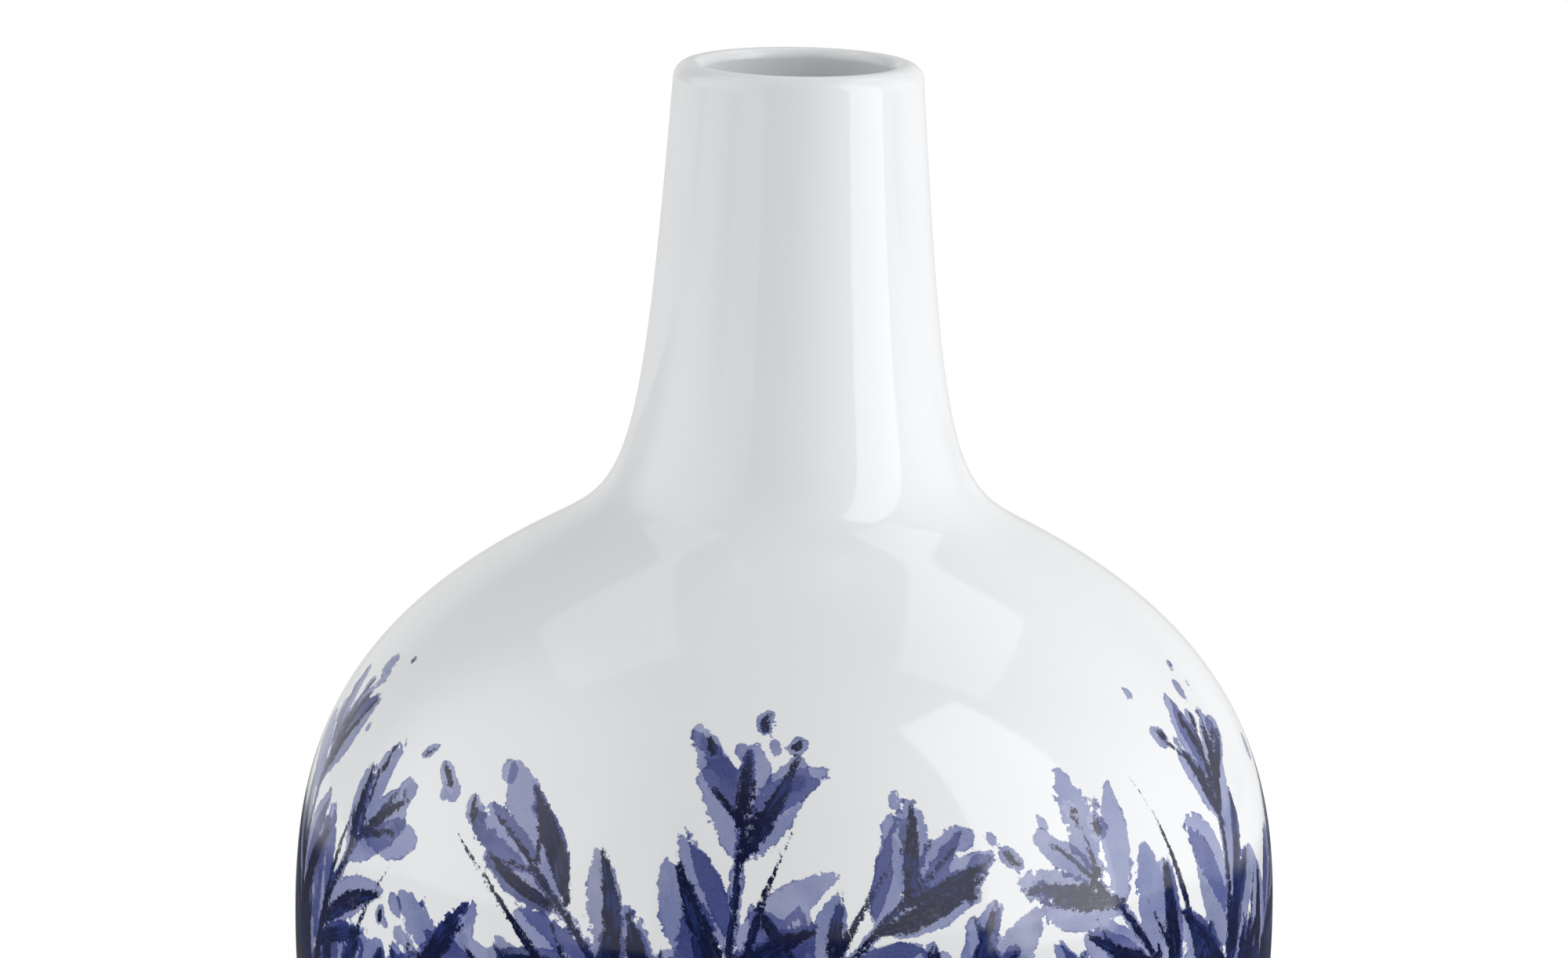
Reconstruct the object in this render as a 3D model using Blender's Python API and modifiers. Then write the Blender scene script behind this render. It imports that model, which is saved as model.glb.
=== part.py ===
"""Porcelain bottle vase, modelled as the sections that a potter turns and lutes together.

A wide round body rises to a tall tapered neck with a thick, softly rounded lip. The vase is turned about
+Z and stands on its foot ring at z = 0. Four porcelain sections, the foot ring, the lower body, the
shoulder and the neck, meet in lapped seats. The lower section of each seat carries a spigot on the inner
half of its wall, and the upper section sits over it on a bed of slip.

All sizes are in metres and degrees. Run it with: blender --background --python part.py
"""

import math

import bpy
from mathutils import Vector

# Lip and neck
HEIGHT = 0.300  # table to the crest of the lip
LIP_RADIUS = 0.0255  # outside, just under the rounding of the lip
LIP_OUTER_ROUND = 0.0035
LIP_INNER_ROUND = 0.0020
LIP_ROUND_LIMIT = 0.9  # the most of the lip's spare width that its inner rounding may take
NECK_TAPER = 3.8  # lean of the neck's outside from the vertical, under the lip
NECK_REACH = 0.915  # how far down the neck its straight taper carries, as a part of the neck's drop
NECK_FLARE = 0.775  # how widely the neck's root sweeps out, as a part of its spread

# Body
NECK_ROOT_RADIUS = 0.0524  # where the hollow curve of the neck turns into the round of the shoulder
NECK_ROOT_HEIGHT = 0.203
SHOULDER_SLOPE = 28.1  # fall of the shoulder from the horizontal at the neck's root
SHOULDER_FULLNESS = 1.0  # how far the shoulder keeps that slope, as a part of its spread
BELLY_RADIUS = 0.100
BELLY_HEIGHT = 0.1265
BELLY_FULLNESS_ABOVE = 0.347  # how far the belly stays upright, as a part of the drop above it
BELLY_FULLNESS_BELOW = 0.46  # and as a part of the drop below it
UNDERCUT = 37.0  # lean of the body's outside from the vertical where it meets the foot
UNDERCUT_REACH = 0.40  # how far up the body that lean carries, as a part of the drop below the belly

# Walls and floor
WALL = 0.0058
FLOOR_THICKNESS = 0.0075
FLOOR_ROUND = 0.016  # hollow curve between the floor and the inside wall

# Foot ring
FOOT_RADIUS = 0.052  # outside, where the body meets the ring
FOOT_HEIGHT = 0.0075  # table to the outer shelf of the ring's seat
FOOT_WIDTH = 0.0085
FOOT_DRAFT = 10.0  # lean of the ring's sides from the vertical
FOOT_EDGE_ROUND = 0.0012

# Luted seats
NECK_JOINT_HEIGHT = 0.2265  # outer shelf of the seat between the shoulder and the neck
LAP = 0.0035  # height of the spigots
SLIP_BED = 0.0008  # thickness of the slip between two sections
CLEARANCE = 0.0003  # gap kept on each side of the slip

# Fineness of the turned surfaces
TURN_STEPS = 48
NECK_STEPS = 9
SHOULDER_STEPS = 13
LOWER_STEPS = 12
ROUND_STEPS = 4
EDGE_STEPS = 2
SHARP_EDGE = 35.0
AXIS_MERGE = 0.00001  # points this near the axis become one

# Finishes: linear colour and roughness
GLAZED_WHITE = ((0.80, 0.815, 0.83), 0.08)
BARE_PORCELAIN = ((0.78, 0.76, 0.72), 0.75)
FIRED_SLIP = ((0.74, 0.73, 0.70), 0.70)

# How far each side of a seat lies from the middle of its bed of slip
SLIP_LIFT = SLIP_BED / 2
SECTION_LIFT = SLIP_LIFT + CLEARANCE


def falling(angle):
    """Unit step down the profile at this many degrees from the vertical, outwards where positive."""
    return Vector((math.sin(math.radians(angle)), -math.cos(math.radians(angle))))


def arc(centre, radius, start, end, steps):
    """Points on a round of the profile between two angles, counted from outwards towards upwards."""
    angles = [math.radians(start + (end - start) * i / steps) for i in range(steps + 1)]
    return [centre + radius * Vector((math.cos(a), math.sin(a))) for a in angles]


class Outline:
    """The outside of the vase as three cubic curves: the neck, the shoulder and the lower body.

    A place on it is a number that runs from 0 at the lip to 3 at the foot.
    """

    def __init__(self):
        lean = math.sin(math.radians(NECK_TAPER))
        lip = Vector((LIP_RADIUS, HEIGHT - LIP_OUTER_ROUND * (1 - lean)))
        root = Vector((NECK_ROOT_RADIUS, NECK_ROOT_HEIGHT))
        belly = Vector((BELLY_RADIUS, BELLY_HEIGHT))
        foot = Vector((FOOT_RADIUS, FOOT_HEIGHT))
        taper = falling(NECK_TAPER) * NECK_REACH * (lip.y - root.y)
        root_fall = falling(90 - SHOULDER_SLOPE)
        flare = root_fall * NECK_FLARE * (root.x - lip.x)
        slope = root_fall * SHOULDER_FULLNESS * (belly.x - root.x)
        above = Vector((0, BELLY_FULLNESS_ABOVE * (root.y - belly.y)))
        below = Vector((0, BELLY_FULLNESS_BELOW * (belly.y - foot.y)))
        undercut = falling(-UNDERCUT) * UNDERCUT_REACH * (belly.y - foot.y)
        self.curves = [
            (lip, lip + taper, root - flare, root),
            (root, root + slope, belly + above, belly),
            (belly, belly - below, foot - undercut, foot),
        ]

    def point(self, place, depth=0.0):
        """The point at a place, moved square to the outside into the wall by depth."""
        index = min(int(place), len(self.curves) - 1)
        a, b, c, d = self.curves[index]
        t = place - index
        u = 1 - t
        at = u**3 * a + 3 * u * u * t * b + 3 * u * t * t * c + t**3 * d
        along = (u * u * (b - a) + 2 * u * t * (c - b) + t * t * (d - c)).normalized()
        return at + depth * Vector((along.y, -along.x))

    def place_at(self, height, depth=0.0):
        """The place where the surface at this depth passes a height, found by halving as it falls."""
        low, high = 0.0, float(len(self.curves))
        for _ in range(50):
            middle = (low + high) / 2
            if self.point(middle, depth).y > height:
                low = middle
            else:
                high = middle
        return low

    def at_height(self, height, depth=0.0):
        return Vector((self.point(self.place_at(height, depth), depth).x, height))

    def run(self, top, bottom, steps, depth=0.0):
        """Evenly spaced points down the surface at this depth, between two heights."""
        first, last = self.place_at(top, depth), self.place_at(bottom, depth)
        return [self.point(first + (last - first) * i / steps, depth) for i in range(steps + 1)]


class WallSeat:
    """A luted seat across the wall: an outer shelf, a riser along mid-wall and a higher inner shelf."""

    def __init__(self, outline, shelf):
        self.outline = outline
        self.shelf = shelf

    def outer_height(self, lift):
        return self.shelf + lift

    def inner_height(self, lift):
        return self.shelf + lift + LAP

    def line(self, lift):
        """The seat from the outside to the inside, moved up and outwards by lift."""
        low, high = self.outer_height(lift), self.inner_height(lift)
        aside = Vector((lift, 0))
        return [
            self.outline.at_height(low),
            self.outline.at_height(low, WALL / 2) + aside,
            self.outline.at_height(high, WALL / 2) + aside,
            self.outline.at_height(high, WALL),
        ]


class FootSeat:
    """The luted seat of the foot ring, whose inner half rises into a rebate under the floor."""

    outer = FOOT_RADIUS
    middle = FOOT_RADIUS - FOOT_WIDTH / 2
    inner = FOOT_RADIUS - FOOT_WIDTH

    def line(self, lift, inner_end=inner):
        """The seat from the outside to inner_end, moved up and outwards by lift."""
        low = FOOT_HEIGHT + lift
        high = low + LAP
        return [
            Vector((self.outer, low)),
            Vector((self.middle + lift, low)),
            Vector((self.middle + lift, high)),
            Vector((inner_end, high)),
        ]


def neck_profile(outline, seat):
    """Tapered neck, rounded lip and plain bore, with the socket that sits over the shoulder's spigot."""
    lean = math.radians(NECK_TAPER)
    square = Vector((math.cos(lean), math.sin(lean)))
    outer_centre = outline.point(0) - LIP_OUTER_ROUND * square
    inner_round = min(LIP_INNER_ROUND, (WALL - LIP_OUTER_ROUND) * LIP_ROUND_LIMIT)
    bore_top = outline.point(0, WALL)
    rise = HEIGHT - inner_round * (1 + math.sin(lean)) - bore_top.y
    mouth = bore_top - falling(NECK_TAPER) * rise / math.cos(lean)
    inner_centre = mouth + inner_round * square
    lip_outside = arc(outer_centre, LIP_OUTER_ROUND, 90, NECK_TAPER, ROUND_STEPS)
    lip_inside = arc(inner_centre, inner_round, 180 + NECK_TAPER, 90, ROUND_STEPS)
    outside = outline.run(outline.point(0).y, seat.outer_height(SECTION_LIFT), NECK_STEPS)
    inside = outline.run(bore_top.y, seat.inner_height(SECTION_LIFT), NECK_STEPS, WALL)
    socket = seat.line(SECTION_LIFT)
    return lip_outside + outside[1:-1] + socket[:-1] + inside[::-1] + lip_inside


def shoulder_profile(outline, neck_seat, belly_seat):
    """Upper half of the body, with a spigot for the neck above and a socket at the belly below."""
    spigot = neck_seat.line(-SECTION_LIFT)
    socket = belly_seat.line(SECTION_LIFT)
    outside = outline.run(spigot[0].y, socket[0].y, SHOULDER_STEPS)
    inside = outline.run(spigot[-1].y, socket[-1].y, SHOULDER_STEPS, WALL)
    return outside[:-1] + socket[:-1] + inside[:0:-1] + spigot[:0:-1]


def lower_body_profile(outline, belly_seat, foot_seat):
    """Bowl with a spigot at the belly, a rounded floor and a rebate that takes the foot ring.

    The profile is open: it starts on the axis at the floor's top and ends on it at the underside.
    """
    spigot = belly_seat.line(-SECTION_LIFT)
    rebate = foot_seat.line(SECTION_LIFT, inner_end=0.0)
    floor = rebate[-1].y + FLOOR_THICKNESS
    outside = outline.run(spigot[0].y, rebate[0].y, LOWER_STEPS)
    inside = outline.run(spigot[-1].y, floor + FLOOR_ROUND, LOWER_STEPS, WALL)
    wall_end = inside[-1]
    up_wall = (inside[-2] - wall_end).normalized()
    tangent = FLOOR_ROUND / up_wall.y
    corner = wall_end - up_wall * tangent
    floor_edge = corner - Vector((tangent, 0))
    bend = []
    for i in range(ROUND_STEPS + 1):
        t = i / ROUND_STEPS
        bend.append((1 - t) ** 2 * wall_end + 2 * (1 - t) * t * corner + t * t * floor_edge)
    hollow = inside[1:-1] + bend + [Vector((0.0, floor))]
    return hollow[::-1] + spigot[::-1] + outside[1:] + rebate[1:]


def foot_ring_profile(foot_seat):
    """Ring with drafted sides, a flat bare face to stand on and a spigot that rises under the floor."""
    spigot = foot_seat.line(-SECTION_LIFT)
    lean = math.tan(math.radians(FOOT_DRAFT))
    outer_toe = spigot[0].x - lean * spigot[0].y
    inner_toe = spigot[-1].x + lean * spigot[-1].y
    tangent = FOOT_EDGE_ROUND * math.tan(math.radians(45 - FOOT_DRAFT / 2))
    outer_centre = Vector((outer_toe - tangent, FOOT_EDGE_ROUND))
    inner_centre = Vector((inner_toe + tangent, FOOT_EDGE_ROUND))
    outer_edge = arc(outer_centre, FOOT_EDGE_ROUND, -FOOT_DRAFT, -90, EDGE_STEPS)
    inner_edge = arc(inner_centre, FOOT_EDGE_ROUND, 270, 180 + FOOT_DRAFT, EDGE_STEPS)
    return spigot[::-1] + outer_edge + inner_edge


def slip_profile(seat):
    """Thin stepped ring of slip between the two sides of a seat."""
    upper, lower = seat.line(SLIP_LIFT), seat.line(-SLIP_LIFT)
    return upper[:1] + lower + upper[:0:-1]


def finish(name, look):
    """A Principled material of one colour and roughness."""
    colour, roughness = look
    material = bpy.data.materials.new(name)
    material.use_nodes = True
    shader = material.node_tree.nodes["Principled BSDF"]
    shader.inputs["Base Color"].default_value = (*colour, 1.0)
    shader.inputs["Roughness"].default_value = roughness
    shader.inputs["Metallic"].default_value = 0.0
    return material


class Vase:
    """The collection and the axis that carry the sections."""

    def __init__(self, name):
        self.collection = bpy.data.collections.new(name)
        bpy.context.scene.collection.children.link(self.collection)
        self.axis = bpy.data.objects.new("turning_axis", None)
        self.collection.objects.link(self.axis)

    def turn(self, name, profile, seat_height, look):
        """Adds a section: its profile turned about +Z, standing at the height of its seat."""
        points = [(p.x, 0.0, p.y - seat_height) for p in profile]
        edges = [(i, i + 1) for i in range(len(points) - 1)]
        meets_axis = profile[0].x == 0.0
        if not meets_axis:
            edges.append((len(points) - 1, 0))
        mesh = bpy.data.meshes.new(name)
        mesh.from_pydata(points, edges, [])
        section = bpy.data.objects.new(name, mesh)
        self.collection.objects.link(section)
        section.parent = self.axis
        section.location.z = seat_height
        screw = section.modifiers.new("turning", "SCREW")
        screw.axis = "Z"
        screw.angle = math.tau
        screw.steps = TURN_STEPS
        screw.render_steps = TURN_STEPS
        screw.use_merge_vertices = True
        screw.merge_threshold = AXIS_MERGE
        bpy.context.view_layer.objects.active = section
        bpy.ops.object.modifier_apply(modifier=screw.name)
        mesh.shade_smooth()
        mesh.set_sharp_from_angle(angle=math.radians(SHARP_EDGE))
        mesh.materials.append(finish(name + "_finish", look))


def main():
    for old in list(bpy.data.objects):
        bpy.data.objects.remove(old)
    outline = Outline()
    neck_seat = WallSeat(outline, NECK_JOINT_HEIGHT)
    belly_seat = WallSeat(outline, BELLY_HEIGHT)
    foot_seat = FootSeat()
    shoulder = shoulder_profile(outline, neck_seat, belly_seat)
    lower_body = lower_body_profile(outline, belly_seat, foot_seat)

    vase = Vase("porcelain_bottle_vase")
    vase.turn("neck", neck_profile(outline, neck_seat), NECK_JOINT_HEIGHT, GLAZED_WHITE)
    vase.turn("shoulder", shoulder, BELLY_HEIGHT, GLAZED_WHITE)
    vase.turn("lower_body", lower_body, FOOT_HEIGHT, GLAZED_WHITE)
    vase.turn("foot_ring", foot_ring_profile(foot_seat), 0.0, BARE_PORCELAIN)
    vase.turn("neck_slip_seam", slip_profile(neck_seat), NECK_JOINT_HEIGHT, FIRED_SLIP)
    vase.turn("belly_slip_seam", slip_profile(belly_seat), BELLY_HEIGHT, FIRED_SLIP)
    vase.turn("foot_slip_seam", slip_profile(foot_seat), FOOT_HEIGHT, FIRED_SLIP)


main()
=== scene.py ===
# %% [markdown]
# # A porcelain bottle vase with brush-painted leaf sprays
# The vase is white porcelain, glazed all over and painted in blue under the glaze. Its solids are packed
# already, so this lesson dresses them: it turns a fine skin for each section, paints leaf sprays round
# the belly and lights the whole in a small white studio. Lengths are in metres unless a comment says
# millimetres.

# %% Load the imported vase
import math
import random

import bpy
import numpy as np
from mathutils import Matrix, Vector


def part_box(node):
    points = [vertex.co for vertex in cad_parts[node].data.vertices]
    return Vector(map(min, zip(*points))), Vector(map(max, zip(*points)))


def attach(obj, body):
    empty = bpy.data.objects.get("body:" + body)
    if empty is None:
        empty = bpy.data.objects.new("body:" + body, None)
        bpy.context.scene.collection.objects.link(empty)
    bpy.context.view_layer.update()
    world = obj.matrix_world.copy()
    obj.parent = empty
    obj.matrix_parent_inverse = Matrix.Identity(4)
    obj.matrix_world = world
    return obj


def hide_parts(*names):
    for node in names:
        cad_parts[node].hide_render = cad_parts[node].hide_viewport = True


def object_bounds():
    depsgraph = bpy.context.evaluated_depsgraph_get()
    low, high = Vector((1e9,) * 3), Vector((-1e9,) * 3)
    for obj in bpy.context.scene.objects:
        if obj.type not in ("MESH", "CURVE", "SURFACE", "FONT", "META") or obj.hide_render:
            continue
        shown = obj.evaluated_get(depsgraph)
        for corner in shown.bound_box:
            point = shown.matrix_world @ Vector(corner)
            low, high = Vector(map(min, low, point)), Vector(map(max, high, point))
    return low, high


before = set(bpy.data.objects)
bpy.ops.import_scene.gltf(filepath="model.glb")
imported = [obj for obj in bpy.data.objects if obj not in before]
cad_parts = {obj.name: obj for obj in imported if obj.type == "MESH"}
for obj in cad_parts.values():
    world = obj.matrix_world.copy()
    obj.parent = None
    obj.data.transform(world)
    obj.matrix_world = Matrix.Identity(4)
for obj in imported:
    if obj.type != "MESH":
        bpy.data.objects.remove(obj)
cad_low, cad_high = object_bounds()
print("solids:", ", ".join(sorted(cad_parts)))

# %% [markdown]
# ## Camera
# The photograph shows the neck and the upper half of the body from slightly above, through a long lens
# and from about three metres, so the sides stay almost parallel. The vase also leans by one degree in the
# frame. A camera could be turned by hand until it looks right. Here it is worked out from its distance,
# its height angle, its roll and the scale of the picture, so each of those can be corrected by itself.

# %% Camera
IMAGE_WIDTH = 2000
SENSOR_MILLIMETRES = 36.0
PIXELS_PER_METRE = 6259.0
AXIS_PIXEL = 1009.6  # where the turning axis crosses the middle row of the picture
AIM_HEIGHT = 0.2142  # height on the axis that the middle row shows
CAMERA_DISTANCE = 3.0
CAMERA_RISE = math.radians(9.5)
CAMERA_ROLL = math.radians(1.01)

towards_camera = Vector((0, -math.cos(CAMERA_RISE), math.sin(CAMERA_RISE)))
level_right = Vector((1, 0, 0))
level_up = towards_camera.cross(level_right)
camera_right = math.cos(CAMERA_ROLL) * level_right + math.sin(CAMERA_ROLL) * level_up
camera_up = math.cos(CAMERA_ROLL) * level_up - math.sin(CAMERA_ROLL) * level_right
aside = (AXIS_PIXEL - IMAGE_WIDTH / 2) / PIXELS_PER_METRE

lens = bpy.data.cameras.new("studio_camera")
lens.sensor_width = SENSOR_MILLIMETRES
lens.lens = PIXELS_PER_METRE * CAMERA_DISTANCE * SENSOR_MILLIMETRES / IMAGE_WIDTH
camera = bpy.data.objects.new("studio_camera", lens)
bpy.context.scene.collection.objects.link(camera)
camera_place = Vector((0, 0, AIM_HEIGHT)) + CAMERA_DISTANCE * towards_camera - aside * camera_right
camera_turn = Matrix((camera_right, camera_up, towards_camera)).transposed().to_4x4()
camera.matrix_world = Matrix.Translation(camera_place) @ camera_turn
bpy.context.scene.camera = camera
print(f"lens {lens.lens:.0f} mm, {CAMERA_DISTANCE} m away")

# %% [markdown]
# ## The outline
# A potter shapes the outside with one long movement: down the tapered neck, out over the shoulder and
# round the belly to the foot. Three cubic curves with shared tangents follow that movement. Hand-placed
# points would show as flats in the glossy glaze. The curves are read closely once, with the direction
# that the skin faces, and later steps look places up along them by length or by height.

# %% The outline of the vase
HEIGHT = cad_high.z
BELLY_RADIUS = cad_high.x
LIP_RADIUS = 0.0255
LIP_OUTER_ROUND = 0.0035
NECK_TAPER = 3.8  # degrees from the vertical
NECK_REACH = 0.915
NECK_FLARE = 0.775
NECK_ROOT_RADIUS = 0.0524
NECK_ROOT_HEIGHT = 0.203
SHOULDER_SLOPE = 28.1  # degrees from the horizontal
BELLY_HEIGHT = 0.1265
BELLY_FULLNESS_ABOVE = 0.347
BELLY_FULLNESS_BELOW = 0.46
FOOT_RADIUS = 0.052
FOOT_HEIGHT = 0.0075
UNDERCUT = 37.0  # degrees from the vertical
UNDERCUT_REACH = 0.40
CURVE_STEPS = 600
MILLIMETRES = 1000.0  # in a metre


def falling(angle):
    """Unit step down the outline at this many degrees from the vertical, outwards where positive."""
    return np.array([math.sin(math.radians(angle)), -math.cos(math.radians(angle))])


lip = np.array([LIP_RADIUS, HEIGHT - LIP_OUTER_ROUND * (1 - math.sin(math.radians(NECK_TAPER)))])
root = np.array([NECK_ROOT_RADIUS, NECK_ROOT_HEIGHT])
belly = np.array([BELLY_RADIUS, BELLY_HEIGHT])
foot = np.array([FOOT_RADIUS, FOOT_HEIGHT])
root_fall = falling(90 - SHOULDER_SLOPE)
taper = falling(NECK_TAPER) * NECK_REACH * (lip[1] - root[1])
flare = root_fall * NECK_FLARE * (root[0] - lip[0])
slope = root_fall * (belly[0] - root[0])
above = np.array([0, BELLY_FULLNESS_ABOVE * (root[1] - belly[1])])
below = np.array([0, BELLY_FULLNESS_BELOW * (belly[1] - foot[1])])
undercut = falling(-UNDERCUT) * UNDERCUT_REACH * (belly[1] - foot[1])

part = np.linspace(0, 1, CURVE_STEPS + 1)[:, None]  # how far down its curve each point lies
rest = 1 - part
skin = []
skin_along = []
for a, b, c, d in [
    (lip, lip + taper, root - flare, root),
    (root, root + slope, belly + above, belly),
    (belly, belly - below, foot - undercut, foot),
]:
    skin.append(rest**3 * a + 3 * rest**2 * part * b + 3 * rest * part**2 * c + part**3 * d)
    skin_along.append(rest**2 * (b - a) + 2 * rest * part * (c - b) + part**2 * (d - c))
skin = np.concatenate(skin)
skin_along = np.concatenate(skin_along)
skin_along /= np.linalg.norm(skin_along, axis=1, keepdims=True)
skin_out = np.stack([-skin_along[:, 1], skin_along[:, 0]], axis=1)
skin_length = np.append(0, np.cumsum(np.linalg.norm(np.diff(skin, axis=0), axis=1)))
belly_length = skin_length[2 * (CURVE_STEPS + 1)]
print(f"outline {skin_length[-1] * MILLIMETRES:.0f} mm long, belly at {belly_length * MILLIMETRES:.0f} mm")

# %% [markdown]
# ## Rows of a profile
# On the wheel every section is a profile swept about the axis. A profile could be a drawn curve, but then
# the direction that it faces would have to be guessed from its points. Here it is made of runs of rows. A
# row holds a radius, a height and the exact direction that the skin faces there. Runs follow the outline,
# the hollow inside it, a rounded edge or straight lines between points.

# %% Helpers that make rows
WALL = 0.0058


def along_skin(lengths, depth=0.0):
    """Rows of the outline at these lengths, moved into the wall by depth."""
    out = np.stack([np.interp(lengths, skin_length, skin_out[:, k]) for k in (0, 1)], axis=1)
    out /= np.linalg.norm(out, axis=1, keepdims=True)
    at = np.stack([np.interp(lengths, skin_length, skin[:, k]) for k in (0, 1)], axis=1)
    return np.hstack([at - depth * out, out])


def length_at(height, depth=0.0):
    """Length along the outline where the surface at this depth passes a height."""
    return float(np.interp(-height, -(skin - depth * skin_out)[:, 1], skin_length))


def wall_run(top, bottom, step, depth=0.0):
    """Evenly spaced rows between two heights."""
    first = length_at(top, depth)
    last = length_at(bottom, depth)
    return along_skin(np.linspace(first, last, math.ceil((last - first) / step) + 1), depth)


def inside_run(bottom, top, step):
    """Rows up the hollow of the vase, facing the axis."""
    return wall_run(top, bottom, step, WALL)[::-1] * [1, 1, -1, -1]


def round_run(centre, radius, start, end, steps):
    """Rows round an edge between two angles, counted from outwards towards upwards."""
    angles = np.radians(np.linspace(start, end, steps + 1))
    out = np.stack([np.cos(angles), np.sin(angles)], axis=1)
    return np.hstack([np.asarray(centre) + radius * out, out])


def straight_runs(points):
    """One flat run between each two points."""
    runs = []
    for here, there in zip(points, points[1:]):
        along = np.subtract(there, here) / math.dist(here, there)
        out = (-along[1], along[0])
        runs.append(np.array([[*here, *out], [*there, *out]]))
    return runs


# %% [markdown]
# ## Turning the rows
# Each row becomes a ring of points and each two rows a band of faces. Blender's Screw modifier could do
# that, but it averages the shading at the end of each section, and that would leave a faint line in the
# glaze at each seam. So the mesh is written out and given the rows' directions as its normals. Runs meet
# in shared points, which closes the mesh, and the normals may differ on the two sides of an edge, which
# makes the edge crisp.

# %% Helper that turns rows into a mesh
SEGMENTS = 640


def turn(name, runs):
    """Turns runs of rows about the axis into one closed mesh. A row on the axis becomes a point."""
    angles = np.arange(SEGMENTS) * math.tau / SEGMENTS
    round_x = np.sin(angles)
    round_y = -np.cos(angles)
    starts = {}
    points = []

    def spots(row):
        """Numbers of the points round this row, which are made once."""
        key = (round(row[0], 7), round(row[1], 7))
        count = SEGMENTS if key[0] > 0 else 1
        if key not in starts:
            starts[key] = sum(len(p) for p in points)
            radius = np.full(count, row[0])
            height = np.full(count, row[1])
            points.append(np.stack([radius * round_x[:count], radius * round_y[:count], height], axis=1))
        return starts[key] + np.arange(SEGMENTS) % count

    def facing(row):
        """The direction that each point round this row faces."""
        return np.stack([row[2] * round_x, row[2] * round_y, np.full(SEGMENTS, row[3])], axis=1)

    faces = []
    normals = []
    for run in runs:
        for upper, lower in zip(run, run[1:]):
            ring = [spots(upper), spots(lower)]
            ring += [np.roll(ring[1], -1), np.roll(ring[0], -1)]
            out = [facing(upper), facing(lower)]
            out += [np.roll(out[1], -1, 0), np.roll(out[0], -1, 0)]
            corners = [0, 1, 2, 3]
            if lower[0] == 0:
                corners = [0, 1, 3]
            elif upper[0] == 0:
                corners = [0, 1, 2]
            faces += np.stack([ring[k] for k in corners], axis=1).tolist()
            normals.append(np.stack([out[k] for k in corners], axis=1).reshape(-1, 3))
    mesh = bpy.data.meshes.new(name)
    mesh.from_pydata(np.concatenate(points).tolist(), [], faces)
    mesh.shade_smooth()
    mesh.normals_split_custom_set(np.concatenate(normals).tolist())
    piece = bpy.data.objects.new(name, mesh)
    bpy.context.scene.collection.objects.link(piece)
    print(f"{name}: {len(mesh.polygons)} faces")
    return piece


# %% [markdown]
# ## Seats under the glaze
# The sections lap into each other: the lower one carries a spigot on the inner half of its wall and the
# upper one sits over it on a bed of slip. On the fired vase nobody sees that, because the glaze runs
# across the seam. Smooth walls would hide it too, but then nothing would seat. So each section keeps its
# stepped seat, and its thin skin of glaze reaches over the slip to meet the next skin edge to edge.

# %% Seats
SLIP_BED = 0.0008
CLEARANCE = 0.0003
GLAZE = 0.0004  # depth of the skin that covers the seams
SEAT_LIFT = SLIP_BED / 2 + CLEARANCE

neck_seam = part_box("neck_slip_seam")[0].z + SLIP_BED / 2
belly_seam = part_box("belly_slip_seam")[0].z + SLIP_BED / 2
foot_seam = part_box("foot_slip_seam")[0].z + SLIP_BED / 2
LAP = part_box("neck_slip_seam")[1].z - SLIP_BED / 2 - neck_seam


def wall_at(height, depth=0.0):
    """Radius and height of the surface at this depth in the wall."""
    return along_skin([length_at(height, depth)], depth)[0, :2]


def wall_seat(seam, lift):
    """The seat from the outside of the wall to its inside, moved up and outwards by lift."""
    outer = wall_at(seam)
    inner = wall_at(seam + LAP, WALL)
    low = seam + lift
    high = low + LAP
    return [
        outer,
        outer - [GLAZE, 0],
        (outer[0] - GLAZE, low),
        (wall_at(low, WALL / 2)[0] + lift, low),
        (wall_at(high, WALL / 2)[0] + lift, high),
        (inner[0] + GLAZE, high),
        inner + [GLAZE, 0],
        inner,
    ]


for seam in (neck_seam, belly_seam, foot_seam):
    print(f"seam at {seam * MILLIMETRES:.1f} mm")

# %% [markdown]
# ## Neck
# The neck is a tapered tube that ends in a thick lip. The lip is round outside, nearly flat on top and has
# a smaller round towards the bore. A bevel would round both edges alike, so the two rounds are runs of
# their own. The runs go down the outside, across the seat and up the bore.

# %% Neck
LIP_INNER_ROUND = 0.0020
LIP_STEPS = 10
PLAIN_STEP = 0.002  # between rows without paint
HIDDEN_STEP = 0.005  # between rows inside the vase

lean = math.radians(NECK_TAPER)
square = np.array([math.cos(lean), math.sin(lean)])
bore_top = along_skin([0.0], WALL)[0, :2]
rise = HEIGHT - LIP_INNER_ROUND * (1 + math.sin(lean)) - bore_top[1]
mouth = bore_top - falling(NECK_TAPER) * rise / math.cos(lean)
lip_outside = round_run(lip - LIP_OUTER_ROUND * square, LIP_OUTER_ROUND, 90, NECK_TAPER, LIP_STEPS)
lip_inside = round_run(mouth + LIP_INNER_ROUND * square, LIP_INNER_ROUND, 180 + NECK_TAPER, 90, LIP_STEPS)
neck = turn(
    "neck_glazed",
    [lip_outside, wall_run(lip[1], neck_seam, PLAIN_STEP)]
    + straight_runs(wall_seat(neck_seam, SEAT_LIFT))
    + [inside_run(neck_seam + LAP, bore_top[1], HIDDEN_STEP)]
    + straight_runs([bore_top, mouth])
    + [lip_inside]
    + straight_runs([lip_inside[-1, :2], lip_outside[0, :2]]),
)

# %% [markdown]
# ## Shoulder
# The upper half of the body carries the top of the painting. Paint could be an image wrapped round the
# body, but that would stretch on the slope. It is stored on the points of the mesh instead, so the rows
# lie closer together where it reaches and wider apart on the plain part below the neck.

# %% Shoulder
PAINT_STEP = 0.0009
PAINT_TOP = 0.190

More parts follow.
